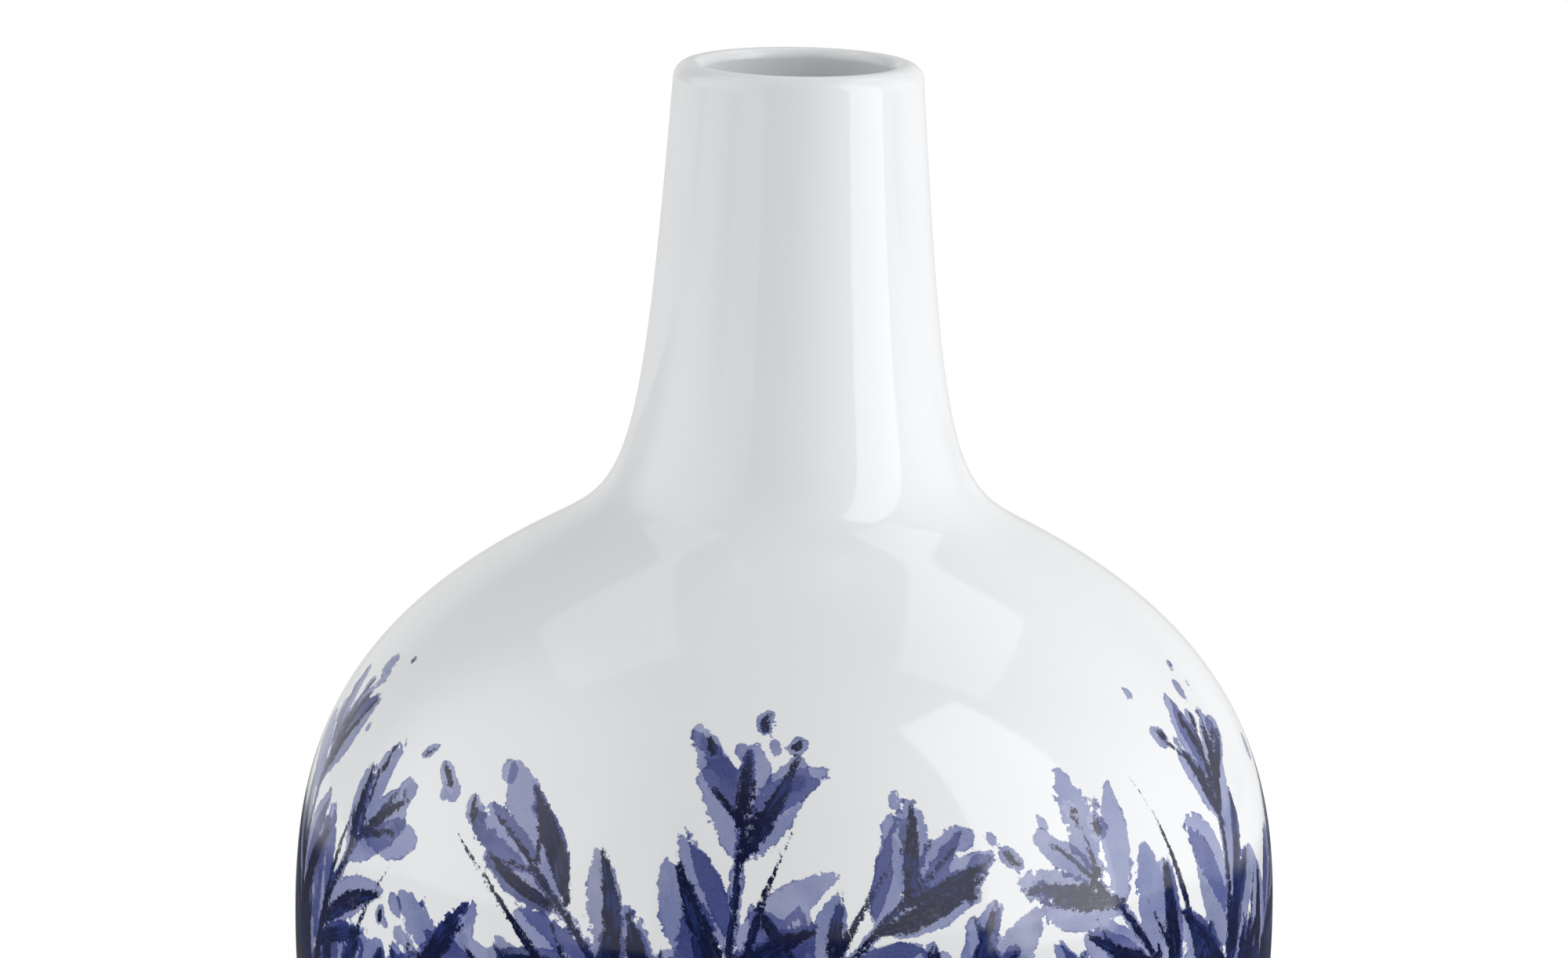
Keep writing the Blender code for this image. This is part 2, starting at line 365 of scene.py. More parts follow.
shoulder = turn(
    "shoulder_glazed",
    [wall_run(neck_seam, PAINT_TOP, PLAIN_STEP), wall_run(PAINT_TOP, belly_seam, PAINT_STEP)]
    + straight_runs(wall_seat(belly_seam, SEAT_LIFT))
    + [inside_run(belly_seam + LAP, neck_seam + LAP, HIDDEN_STEP)]
    + straight_runs(wall_seat(neck_seam, -SEAT_LIFT)[::-1]),
)

# %% [markdown]
# ## Lower body
# The bowl narrows from the belly to the foot. Its floor is flat inside, with a hollow curve up to the wall,
# and flat underneath, where it rests on the foot ring. The hollow curve is a bend between two straight
# lines, so it meets floor and wall without a crease.

# %% Lower body
FLOOR_THICKNESS = 0.0075
FLOOR_ROUND = 0.016
FOOT_WIDTH = 0.0085
PAINT_BOTTOM = 0.062

foot_middle = FOOT_RADIUS - FOOT_WIDTH / 2
foot_inner = FOOT_RADIUS - FOOT_WIDTH
underside = foot_seam + LAP + SEAT_LIFT
floor_top = underside + FLOOR_THICKNESS
hollow = inside_run(floor_top + FLOOR_ROUND, belly_seam + LAP, HIDDEN_STEP)
wall_end = hollow[0, :2]
up_wall = np.array([hollow[0, 3], -hollow[0, 2]])
tangent = FLOOR_ROUND / up_wall[1]
corner = wall_end - up_wall * tangent
floor_edge = corner - [tangent, 0]
bend_part = np.linspace(0, 1, LIP_STEPS + 1)[:, None]
bend_rest = 1 - bend_part
bend = bend_rest**2 * floor_edge + 2 * bend_rest * bend_part * corner + bend_part**2 * wall_end
bend_along = bend_rest * (corner - floor_edge) + bend_part * (wall_end - corner)
bend_along /= np.linalg.norm(bend_along, axis=1, keepdims=True)
bend_out = np.stack([-bend_along[:, 1], bend_along[:, 0]], axis=1)
rebate = [
    (FOOT_RADIUS, foot_seam),
    (FOOT_RADIUS - GLAZE, foot_seam),
    (FOOT_RADIUS - GLAZE, foot_seam + SEAT_LIFT),
    (foot_middle + SEAT_LIFT, foot_seam + SEAT_LIFT),
    (foot_middle + SEAT_LIFT, underside),
    (foot_inner, underside),
    (0.0, underside),
]
lower_body = turn(
    "lower_body_glazed",
    straight_runs([(0.0, floor_top), tuple(floor_edge)])
    + [np.hstack([bend, bend_out]), hollow]
    + straight_runs(wall_seat(belly_seam, -SEAT_LIFT)[::-1])
    + [wall_run(belly_seam, PAINT_BOTTOM, PAINT_STEP), wall_run(PAINT_BOTTOM, foot_seam, PLAIN_STEP)]
    + straight_runs(rebate),
)

# %% [markdown]
# ## Foot ring
# The vase stands on a low ring whose sides lean in a little. Its flat face is wiped free of glaze before
# the firing, so that it doesn't stick to the kiln shelf. A bevel could soften its lower edges, but it would
# also soften the steps of the seat, so the two edges are round runs and the other runs are straight.

# %% Foot ring
FOOT_DRAFT = 10.0  # degrees from the vertical
FOOT_EDGE_ROUND = 0.0012
EDGE_STEPS = 6

toe_lean = math.tan(math.radians(FOOT_DRAFT))
edge_run = FOOT_EDGE_ROUND * math.tan(math.radians(45 - FOOT_DRAFT / 2))
outer_toe = FOOT_RADIUS - toe_lean * foot_seam
inner_toe = foot_inner + toe_lean * underside
outer_middle = (outer_toe - edge_run, FOOT_EDGE_ROUND)
inner_middle = (inner_toe + edge_run, FOOT_EDGE_ROUND)
outer_edge = round_run(outer_middle, FOOT_EDGE_ROUND, -FOOT_DRAFT, -90, EDGE_STEPS)
inner_edge = round_run(inner_middle, FOOT_EDGE_ROUND, 270, 180 + FOOT_DRAFT, EDGE_STEPS)
spigot_top = underside - 2 * SEAT_LIFT
spigot = [
    (foot_inner, underside),
    (foot_inner + GLAZE, underside),
    (foot_inner + GLAZE, spigot_top),
    (foot_middle - SEAT_LIFT, spigot_top),
    (foot_middle - SEAT_LIFT, foot_seam - SEAT_LIFT),
    (FOOT_RADIUS - GLAZE, foot_seam - SEAT_LIFT),
    (FOOT_RADIUS - GLAZE, foot_seam),
    (FOOT_RADIUS, foot_seam),
]
foot_ring = turn(
    "foot_ring_bare",
    straight_runs(spigot + [tuple(outer_edge[0, :2])])
    + [outer_edge]
    + straight_runs([outer_edge[-1, :2], inner_edge[0, :2]])
    + [inner_edge]
    + straight_runs([inner_edge[-1, :2], spigot[0]]),
)

# %% [markdown]
# ## Beds of slip
# Slip is the liquid clay that joins the sections. It lies hidden in the three seats and could be left out
# of the picture, but each bed stands for a solid, so it is turned like the rest. Both of its sides follow
# the steps of the seat.

# %% Beds of slip


def slip_ring(name, low_line, high_line):
    """A bed of slip between the two sides of a seat, each from the outside to the inside."""
    return turn(name, straight_runs([high_line[0], *low_line, *high_line[:0:-1], high_line[0]]))


def wall_slip(name, seam):
    """The bed of slip in a seat across the wall, behind both skins of glaze."""
    lift = SLIP_BED / 2
    lines = []
    for move in (-lift, lift):
        line = wall_seat(seam, move)[2:6]
        line[0] = (line[0][0] - CLEARANCE, line[0][1])
        line[3] = (line[3][0] + CLEARANCE, line[3][1])
        lines.append(line)
    return slip_ring(name, *lines)


def foot_slip_line(move):
    """One side of the bed of slip in the foot's seat, moved up and outwards."""
    low = foot_seam + move
    return [
        (FOOT_RADIUS - GLAZE - CLEARANCE, low),
        (foot_middle + move, low),
        (foot_middle + move, low + LAP),
        (foot_inner + GLAZE + CLEARANCE, low + LAP),
    ]


neck_slip = wall_slip("neck_slip", neck_seam)
belly_slip = wall_slip("belly_slip", belly_seam)
foot_slip = slip_ring("foot_slip", foot_slip_line(-SLIP_BED / 2), foot_slip_line(SLIP_BED / 2))

# %% [markdown]
# ## Brush strokes
# The painter works with a soft pointed brush: a pale wash first, a second wash over it and dark ink last.
# Strokes could be flat shapes with fixed edges, but brush edges fray. So a stroke here is a bent line with
# a half width at each point, all in millimetres. It swells under the pressed brush and runs out in a point
# where the brush lifts.

# %% Strokes
LINE_STEPS = 10
BRUSH_SWELL = 0.8  # under 1, so that a stroke is full for most of its length
chance = random.Random(11)


def bent_line(x, y, heading, length, bend):
    """Points in millimetres from (x, y), along a heading that turns by bend on the way."""
    points = [(x, y)]
    for step in range(LINE_STEPS):
        angle = heading + bend * (step + 0.5) / LINE_STEPS
        x += math.sin(angle) * length / LINE_STEPS
        y += math.cos(angle) * length / LINE_STEPS
        points.append((x, y))
    return points


def shifted(line, sideways):
    """The line moved to its right by this many millimetres."""
    moved = []
    for k, (x, y) in enumerate(line):
        before = line[max(k - 1, 0)]
        after = line[min(k + 1, len(line) - 1)]
        span = math.dist(before, after)
        move_x = sideways * (after[1] - before[1]) / span
        move_y = sideways * (after[0] - before[0]) / span
        moved.append((x + move_x, y - move_y))
    return moved


def brush_widths(half_width, fullest, start=0.0):
    """Half widths of a stroke that swells to its fullest part and runs out in a point."""
    bow = math.log(0.5) / math.log(fullest)
    widths = []
    for k in range(LINE_STEPS + 1):
        share = k / LINE_STEPS
        swell = math.sin(math.pi * share**bow) ** BRUSH_SWELL
        widths.append(half_width * max(start * (1 - share), swell))
    return widths


# %% [markdown]
# ## What a spray is made of
# Leaves, stems, buds and dabs are a few touches of the brush each. A leaf is a wash, often with a second
# wash over one half and ink along it. Each could be drawn once and copied, but painted leaves never repeat,
# so their bend, width and tone are left to chance. A spray keeps its strokes together, because it is laid
# on the vase as one thing, at its own angle.

# %% Touches of the brush


class Spray:
    """The strokes of one painted spray, in millimetres from its middle on the belly line."""

    def __init__(self, angle):
        self.angle = angle
        self.strokes = []

    def stroke(self, layer, line, widths, tone=0.5):
        self.strokes.append((layer, np.array(line), np.array(widths), tone))

    def leaf(self, x, y, heading, length, half_width, darkness):
        """A wash leaf, with a second wash over one half and ink along it where it is dark."""
        line = bent_line(x, y, heading, length, chance.uniform(-0.55, 0.55))
        tone = chance.random()
        side = chance.choice([-1, 1])
        lower, upper = chance.choice([("wash_low", "wash_high"), ("wash_high", "wash_low")])
        self.stroke(lower, line, brush_widths(half_width, chance.uniform(0.45, 0.62)), tone)
        if chance.random() < 0.25 + 0.6 * darkness:
            half = shifted(line, side * 0.38 * half_width)
            self.stroke(upper, half, brush_widths(0.6 * half_width, 0.5), tone)
        if chance.random() < 0.15 + 0.85 * darkness:
            dark = shifted(line, side * chance.uniform(0.1, 0.45) * half_width)
            thickness = chance.uniform(0.28, 0.42) + 0.22 * darkness
            self.stroke("ink", dark, brush_widths(thickness * half_width, 0.42, 0.35), tone)

    def stem(self, line, thick, thin):
        """A line of ink on a slightly wider wash."""
        widths = np.linspace(thick, thin, len(line))
        self.stroke("wash_high", line, widths + 0.6)
        self.stroke("ink", line, widths)

    def bud(self, x, y, heading, stalk, size):
        """A round touch of the brush at the end of a fine stalk."""
        line = bent_line(x, y, heading, stalk, chance.uniform(-0.3, 0.3))
        self.stroke("ink", line, np.linspace(0.8, 0.55, len(line)))
        head = bent_line(*line[-1], heading, size * chance.uniform(1.5, 2.3), 0.2)
        tone = chance.random()
        self.stroke(chance.choice(["wash_low", "wash_high"]), head, brush_widths(size, 0.5, 0.4), tone)
        if chance.random() < 0.6:
            self.stroke("ink", shifted(head, 0.3 * size), brush_widths(0.45 * size, 0.4, 0.4), tone)

    def dabs(self, x, y, count, spread):
        """Small loose touches of the brush."""
        for _ in range(count):
            size = chance.uniform(0.9, 2.6)
            start_x = x + chance.uniform(-spread, spread)
            start_y = y + chance.uniform(-0.6, 0.6) * spread
            heading = chance.uniform(-0.9, 0.9)
            line = bent_line(start_x, start_y, heading, size * chance.uniform(1.5, 2.8), 0.3)
            self.stroke("wash_low", line, brush_widths(size, 0.45, 0.4), chance.random())
            if chance.random() < 0.35:
                self.stroke("ink", line, brush_widths(0.45 * size, 0.4), 0.5)


# %% [markdown]
# ## Leaf sprays
# Five sprays stand round the belly. Five arching stems part from each root, with broad leaves left and
# right that get smaller and paler towards the tip, buds and loose dabs beyond and long dark blades
# between. A low sprig fills each gap. Hundreds of strokes are too many to place by hand, so loops place
# them. All chance comes from one seeded source, so the same vase comes out each time.

# %% Leaf sprays
SPRAYS = 5
FIRST_SPRAY = math.radians(-8)
ROOT_RISE = -50.0  # millimetres from the belly line
STEMS = (  # heading and curl in radians, length in millimetres
    (-0.56, -0.66, 76),
    (0.58, 0.62, 74),
    (-0.24, -0.50, 82),
    (0.22, 0.52, 80),
    (0.0, 0.06, 84),
)
STEM_LEAF = (34, 5.8)  # length and half width in millimetres, here and below
STEM_TIP = (18, 3.4)
SPRIG_LEAF = (22, 4.0)
SPRIG_TIP = (15, 3.0)
SPRIG_REACH = 40
STEM_THICK = 1.5
STEM_THIN = 0.8
LEAF_PAIRS = 7
FIRST_LEAF = 0.28  # how far up a stem its leaves begin
BUD_LEANS = (-0.75, 0.05, 0.7)
DABS = 7
DAB_REACH = 15
BLADES = 6


def leafy_stem(spray, heading, curl, reach, leaf_length, leaf_width):
    """A stem with its leaves, and the place and heading of its tip."""
    line = bent_line(0.0, ROOT_RISE, heading, reach, curl)
    spray.stem(line, STEM_THICK, STEM_THIN)
    for pair in range(LEAF_PAIRS):
        share = FIRST_LEAF + 0.70 * pair / (LEAF_PAIRS - 1)
        x, y = line[round(share * LINE_STEPS)]
        size = 1.0 - 0.34 * share
        for side in (-1, 1):
            fan = heading + curl * share + side * chance.uniform(0.35, 0.75)
            length = leaf_length * chance.uniform(0.82, 1.15) * size
            half_width = leaf_width * chance.uniform(0.8, 1.2) * size
            spray.leaf(x, y, fan, length, half_width, 1.3 - share)
    return *line[-1], heading + curl


sprays = []
for number in range(SPRAYS):
    angle = FIRST_SPRAY + number * math.tau / SPRAYS
    spray = Spray(angle)
    for heading, curl, reach in STEMS:
        heading += chance.uniform(-0.06, 0.06)
        x, y, along = leafy_stem(spray, heading, curl, reach, *STEM_LEAF)
        spray.leaf(x, y, along, *STEM_TIP, 0.5)
        for bud_lean in BUD_LEANS:
            spray.bud(x, y, along + bud_lean, chance.uniform(8, 16), chance.uniform(1.5, 2.5))
        spray.dabs(x + DAB_REACH * math.sin(along), y + DAB_REACH * math.cos(along), DABS, 16)
    for _ in range(BLADES):
        heading = chance.uniform(-0.8, 0.8)
        blade_reach = chance.uniform(50, 100)
        blade = bent_line(4 * heading, ROOT_RISE, heading, blade_reach, chance.uniform(-0.4, 0.4))
        spray.stroke("ink", blade, brush_widths(1.5, 0.35, 0.8))
    sprig = Spray(angle + math.pi / SPRAYS)
    sprig_heading = chance.uniform(-0.1, 0.1)
    sprig_curl = chance.uniform(-0.3, 0.3)
    x, y, along = leafy_stem(sprig, sprig_heading, sprig_curl, SPRIG_REACH, *SPRIG_LEAF)
    sprig.leaf(x, y, along, *SPRIG_TIP, 0.4)
    sprays += [spray, sprig]
print(f"{SPRAYS} sprays, {sum(len(s.strokes) for s in sprays)} strokes")

# %% [markdown]
# ## Depth in a stroke
# Paint is thickest in the middle of a stroke. A mask of painted and bare points would lose that and show
# the steps of the mesh. The depth at a place is the stroke's half width less the distance to its line, so
# it is positive inside the stroke and falls off evenly outside it. The finish can then fray the edge and
# darken the rim much more finely than the points lie.

# %% Depth at each place
NO_PAINT = -40.0


def stroke_depth(x, y, line, widths):
    """Depth in the stroke at each place, with the distances across and along its line."""
    best = np.full(len(x), NO_PAINT)
    across = np.zeros(len(x))
    along = np.zeros(len(x))
    passed = 0.0
    for start, end, wide, wide_end in zip(line, line[1:], widths, widths[1:]):
        step = end - start
        length = np.hypot(*step)
        share = np.clip(((x - start[0]) * step[0] + (y - start[1]) * step[1]) / length**2, 0, 1)
        away = np.hypot(x - start[0] - share * step[0], y - start[1] - share * step[1])
        depth = wide + (wide_end - wide) * share - away
        better = depth > best
        best[better] = depth[better]
        side = ((x - start[0]) * step[1] - (y - start[1]) * step[0]) / length
        across[better] = side[better]
        along[better] = passed + share[better] * length
        passed += length
    return best, across, along


# %% [markdown]
# ## Laying the paint
# The strokes lie on the curved skin: sideways they are measured round the vase and upwards along the
# outline, so a leaf keeps its size on the slope of the shoulder. A flat picture pushed through the vase
# would smear at the sides. For every point of the outside the deepest stroke of each layer is kept as an
# attribute, and the finish reads those.

# %% Lay the paint on the points
LAYERS = ("wash_low", "wash_high", "ink")
SKIN_TOLERANCE = 0.00002
FRAY_MARGIN = 6.0  # millimetres outside a stroke in which its depth is still kept


def lay_paint(piece):
    """Stores the depth, tone and direction of the paint on the points of a piece."""
    mesh = piece.data
    spots = np.empty(len(mesh.vertices) * 3, np.float32)
    mesh.vertices.foreach_get("co", spots)
    x, y, z = spots.reshape(-1, 3).T.astype(float)
    reach = np.hypot(x, y)
    up = (belly_length - np.interp(-z, -skin[:, 1], skin_length)) * MILLIMETRES
    outside = np.abs(reach - np.interp(-z, -skin[:, 1], skin[:, 0])) < SKIN_TOLERANCE
    paint = {layer: np.full(len(x), NO_PAINT) for layer in LAYERS}
    paint.update(tone=np.zeros(len(x)), across=np.zeros(len(x)), along=np.zeros(len(x)))
    for spray in sprays:
        turned_by = (np.arctan2(x, -y) - spray.angle + math.pi) % math.tau - math.pi
        side = reach * turned_by * MILLIMETRES
        for layer, line, widths, tone in spray.strokes:
            margin = widths.max() + FRAY_MARGIN
            low = line.min(0) - margin
            high = line.max(0) + margin
            beside = (side > low[0]) & (side < high[0])
            near = np.flatnonzero(outside & beside & (up > low[1]) & (up < high[1]))
            depth, across, along = stroke_depth(side[near], up[near], line, widths)
            better = depth > paint[layer][near]
            chosen = near[better]
            paint[layer][chosen] = depth[better]
            if layer == "ink":
                paint["across"][chosen] = across[better]
                paint["along"][chosen] = along[better]
            else:
                paint["tone"][near[depth > 0]] = tone
    for name, values in paint.items():
        mesh.attributes.new(name, "FLOAT", "POINT").data.foreach_set("value", values.astype(np.float32))
    share = np.mean(np.maximum(paint["wash_low"], paint["wash_high"])[outside] > 0)
    print(f"{piece.name}: {share:.0%} of the outside points painted")


lay_paint(shoulder)
lay_paint(lower_body)

# %% [markdown]
# ## Sums on sockets
# A finish is a sheet of nodes. Long chains of Math nodes are hard to read when each is made by hand, so a
# small class wraps a socket and lets Python's operators add those nodes: `1 - mask` then reads like a sum.

# %% A socket that can be used in sums


class Wire:
    """An output socket that can be used in sums."""

    def __init__(self, sheet, socket):
        self.sheet = sheet
        self.socket = socket

    def sum(self, operation, first, second):
        return self.sheet.node("ShaderNodeMath", {"operation": operation}, {0: first, 1: second})

    def __add__(self, other):
        return self.sum("ADD", self, other)

    def __radd__(self, other):
        return self.sum("ADD", other, self)

    def __sub__(self, other):
        return self.sum("SUBTRACT", self, other)

    def __rsub__(self, other):
        return self.sum("SUBTRACT", other, self)

    def __mul__(self, other):
        return self.sum("MULTIPLY", self, other)

    def __rmul__(self, other):
        return self.sum("MULTIPLY", other, self)


# %% [markdown]
# ## Sheets of nodes
# Every other node comes from one method, which sets the node's own settings first and then its sockets. The
# nodes that the finishes use again and again, such as noise and a smooth step, get short names on top of it.

# %% Node sheets


class Sheet:
    """The node sheet of a material or of the world."""

    def __init__(self, owner):
        owner.use_nodes = True
        self.tree = owner.node_tree

    def node(self, kind, settings, sockets, output=0):
        """Adds a node, sets its settings, then gives its sockets their values or links."""
        made = self.tree.nodes.new(kind)
        for name, value in settings.items():
            setattr(made, name, value)
        for name, value in sockets.items():
            self.feed(made.inputs[name], value)
        return Wire(self, made.outputs[output])

    def feed(self, socket, value):
        """Links a wire to a socket, or writes a plain value into it."""
        if isinstance(value, Wire):
            self.tree.links.new(value.socket, socket)
        else:
            socket.default_value = value

    def noise(self, vector, per_millimetre, detail=2.0):
        """Noise around 0, with about this many blobs to the millimetre."""
        sockets = {"Vector": vector, "Scale": per_millimetre * MILLIMETRES, "Detail": detail}
        return self.node("ShaderNodeTexNoise", {}, sockets, "Fac") - 0.5

    def step(self, value, low, high):
        """0 below low, 1 above high and a smooth rise between them."""
        sockets = {"Value": value, "From Min": low, "From Max": high}
        return self.node("ShaderNodeMapRange", {"interpolation_type": "SMOOTHSTEP"}, sockets)

    def mix(self, share, first, second, blend="MIX"):
        """Colours mixed by share, through the numbered colour sockets of the Mix node."""
        settings = {"data_type": "RGBA", "blend_type": blend}
        return self.node("ShaderNodeMix", settings, {0: share, 6: first, 7: second}, 2)

    def rays(self, kind):
        """1 where a ray of this kind arrives, 0 for the others."""
        return self.node("ShaderNodeLightPath", {}, {}, kind)


class Finish(Sheet):
    """A material with one Principled shader."""

    def __init__(self, name):
        self.material = bpy.data.materials.new(name)
        super().__init__(self.material)
        self.shader = self.tree.nodes["Principled BSDF"]
        self.place = self.node("ShaderNodeTexCoord", {}, {}, "Object")

    def set(self, **sockets):
        """Feeds the shader's sockets, whose names are written with underscores."""
        for name, value in sockets.items():
            self.feed(self.shader.inputs[name.replace("_", " ")], value)

    def attribute(self, name):
        """A value stored on the points of the mesh."""
        return self.node("ShaderNodeAttribute", {"attribute_name": name}, {}, "Fac")


# %% [markdown]
# ## White glaze
# The glaze is a glassy coat over white porcelain. One even colour would look like plastic, because close
# up a glaze is never quite even: it pools a little greyer in places, and its surface swims by a few
# hundredths of a millimetre, which is why mirrored lamps have soft, slightly wavy edges. Both come from
# wide, weak noise.

# %% White glaze
WHITE = (0.80, 0.812, 0.825, 1)
POOLED_WHITE = (0.785, 0.80, 0.815, 1)
GLAZE_ROUGHNESS = 0.07
GLAZE_INDEX = 1.5
GLAZE_SWIM = 0.00006


def glaze(finish):
    """Sets the glassy surface and returns the colour of the white porcelain under it."""
    cloud = finish.noise(finish.place, 0.018, 3.0)
    swim = finish.noise(finish.place, 0.03, 1.0)
    sockets = {"Strength": 1.0, "Distance": GLAZE_SWIM, "Height": swim}
    finish.set(
        Roughness=GLAZE_ROUGHNESS + 0.03 * cloud,
        IOR=GLAZE_INDEX,
        Normal=finish.node("ShaderNodeBump", {}, sockets),
    )
    return finish.mix(finish.step(cloud, -0.1, 0.3), WHITE, POOLED_WHITE)


white_glaze = Finish("white_glaze")
white_glaze.set(Base_Color=glaze(white_glaze))
print(f"white_glaze: {len(white_glaze.tree.nodes)} nodes")

# %% [markdown]
# ## Washes under the glaze
# Cobalt paint sinks into the porcelain under the same glaze. A wash is thin and flat with a darker rim where
# it dried, and two washes over each other multiply. A wash could be one flat blue with a clean edge, but it
# would look printed. So noise moves the depth of the stroke: a slow waver bends its edge, ragged noise frays
# it, in some patches more than in others, and fine grain breaks it up.

# %% Washes
WASH = (0.20, 0.235, 0.47, 1)
PALE_WASH = (0.31, 0.34, 0.57, 1)
GREY_WASH = (0.25, 0.28, 0.46, 1)
RIM = (0.55, 0.56, 0.74, 1)
CLEAR = (1, 1, 1, 1)
EDGE_WAVER = 1.6  # millimetres that each noise moves an edge, here and below
EDGE_RAGGED = 1.2
PATCH_RAGGED = 3.2
EDGE_GRAIN = 0.7
WASH_COVER = 0.93
RIM_COVER = 0.8

painted_glaze = Finish("painted_glaze")
white = glaze(painted_glaze)
waver = painted_glaze.noise(painted_glaze.place, 0.22, 2.0)
ragged = painted_glaze.noise(painted_glaze.place, 0.8, 5.0)
grain = painted_glaze.noise(painted_glaze.place, 3.0, 2.0)
blotch = painted_glaze.noise(painted_glaze.place, 0.1, 3.0)
patch = painted_glaze.step(painted_glaze.noise(painted_glaze.place, 0.07, 1.0), -0.02, 0.16)
fray = waver * EDGE_WAVER + ragged * (EDGE_RAGGED + PATCH_RAGGED * patch) + grain * EDGE_GRAIN
tone = painted_glaze.attribute("tone")
cloudy_tone = tone + 0.6 * blotch
wash_colour = painted_glaze.mix(painted_glaze.step(cloudy_tone, 0.35, 0.65), WASH, PALE_WASH)
wash_colour = painted_glaze.mix(painted_glaze.step(cloudy_tone, 0.75, 0.95), wash_colour, GREY_WASH)
colour = white
for layer in ("wash_low", "wash_high"):
    wash_depth = painted_glaze.attribute(layer) + fray
    inside = painted_glaze.step(wash_depth, 0.0, 0.22)
    rim = inside * (1 - painted_glaze.step(wash_depth, 0.25, 0.7))
    rim = rim * painted_glaze.step(waver + blotch, 0.0, 0.2)
    laid = painted_glaze.mix(inside * (WASH_COVER + 0.45 * blotch + 0.25 * grain), CLEAR, wash_colour)
    laid = painted_glaze.mix(rim * RIM_COVER, laid, RIM, "MULTIPLY")
    colour = painted_glaze.mix(1.0, colour, laid, "MULTIPLY")

# %% [markdown]
# ## Ink
# The last strokes are nearly opaque, but a brush that runs dry leaves them streaked. Noise stretched in one
# direction would streak all of them alike. The points know how far along and across its stroke each place
# lies, so noise on those two follows every bend of the brush.

# %% Ink
INK = (0.003, 0.006, 0.034, 1)
THIN_INK = (0.018, 0.034, 0.150, 1)
STREAK_ACROSS = 0.0012
STREAK_ALONG = 0.0001
STREAK_APART = 0.05  # moves the streaks of strokes with other tones away from each other
INK_COVER = 1.02

streak_sockets = {
    "X": painted_glaze.attribute("across") * STREAK_ACROSS,
    "Y": painted_glaze.attribute("along") * STREAK_ALONG,
    "Z": tone * STREAK_APART,
}
streak_place = painted_glaze.node("ShaderNodeCombineXYZ", {}, streak_sockets)
streak = painted_glaze.noise(streak_place, 1.0, 2.0)
ink_depth = painted_glaze.attribute("ink") + fray * 0.5 + ragged * 0.7 + streak * 1.5 + grain * 0.8
ink_cover = INK_COVER + 0.5 * streak + 0.5 * ragged + 0.5 * grain
ink = painted_glaze.step(ink_depth, -0.1, 0.3) * ink_cover
ink_colour = painted_glaze.mix(painted_glaze.step(streak + blotch, 0.0, 0.3), INK, THIN_INK)
painted_glaze.set(Base_Color=painted_glaze.mix(ink, colour, ink_colour))
print(f"painted_glaze: {len(painted_glaze.tree.nodes)} nodes")

# %% [markdown]
# ## Bare porcelain and slip
# Unglazed porcelain is matt, a little warmer and finely grained, and the foot picks up grit from the shelf.
# The glaze on the ring ends in a slightly wavering line above the foot. A second material could start there,
# but one material that changes at the line lets the line waver. The slip is the same clay, fired bare.

# %% Bare porcelain and slip
BARE = (0.78, 0.76, 0.72, 1)
GRIT = (0.56, 0.52, 0.47, 1)
SLIP = (0.74, 0.73, 0.70, 1)
GLAZE_LINE = 0.0020  # height on the ring where the glaze begins
GLAZE_EDGE = 0.0003
LINE_WAVER = 0.0008
GRAIN_DEPTH = 0.00012
GRAIN_STRENGTH = 0.6


def bare(finish, base):
    """Grained matt clay: its colour and the height of its grain."""
    clay_grain = finish.noise(finish.place, 2.2, 3.0)
    grit = finish.step(finish.noise(finish.place, 0.9, 2.0), 0.16, 0.24)
    grained = finish.mix(finish.step(clay_grain, -0.3, 0.3), base, GRIT)
    return finish.mix(grit * 0.7, grained, GRIT), clay_grain


bare_porcelain = Finish("bare_porcelain")
height = bare_porcelain.node("ShaderNodeSeparateXYZ", {}, {"Vector": bare_porcelain.place}, "Z")
line_waver = bare_porcelain.noise(bare_porcelain.place, 0.08, 2.0)
glazed = bare_porcelain.step(height + line_waver * LINE_WAVER, GLAZE_LINE, GLAZE_LINE + GLAZE_EDGE)
bare_colour, bare_grain = bare(bare_porcelain, BARE)
foot_bump = {"Strength": GRAIN_STRENGTH, "Distance": GRAIN_DEPTH, "Height": bare_grain * (1 - glazed)}
bare_porcelain.set(
    Base_Color=bare_porcelain.mix(glazed, bare_colour, WHITE),
    Roughness=0.75 - 0.68 * glazed,
    Normal=bare_porcelain.node("ShaderNodeBump", {}, foot_bump),
)

fired_slip = Finish("fired_slip")
slip_colour, slip_grain = bare(fired_slip, SLIP)
slip_bump = {"Strength": GRAIN_STRENGTH, "Distance": GRAIN_DEPTH, "Height": slip_grain}
fired_slip.set(
    Base_Color=slip_colour,
    Roughness=0.7 + 0.2 * slip_grain,
    Normal=fired_slip.node("ShaderNodeBump", {}, slip_bump),
)
for clay in (bare_porcelain, fired_slip):
    print(f"{clay.material.name}: {len(clay.tree.nodes)} nodes")

# %% [markdown]
# ## Putting the pieces in place
# Each piece stands for one solid, whose part it hides, takes its finish and rides on the vase's only body.
# The pieces also go into a collection of their own, so that a lamp can be told to light nothing else.

# %% Ride, replace and finish
vase = bpy.data.collections.new("vase")
for piece, node, finish, slot in [
    (neck, "neck", white_glaze, "white_glaze"),
    (shoulder, "shoulder", painted_glaze, "painted_glaze"),
    (lower_body, "lower_body", painted_glaze, "painted_glaze"),
    (foot_ring, "foot_ring", bare_porcelain, "bare_porcelain"),
    (neck_slip, "neck_slip_seam", fired_slip, "fired_slip"),
    (belly_slip, "belly_slip_seam", fired_slip, "fired_slip"),
    (foot_slip, "foot_slip_seam", fired_slip, "fired_slip"),
]:
    piece.data.materials.append(finish.material)
    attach(piece, "root")
    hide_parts(node)
    vase.objects.link(piece)
    print(f"{piece.name} stands for {node}")

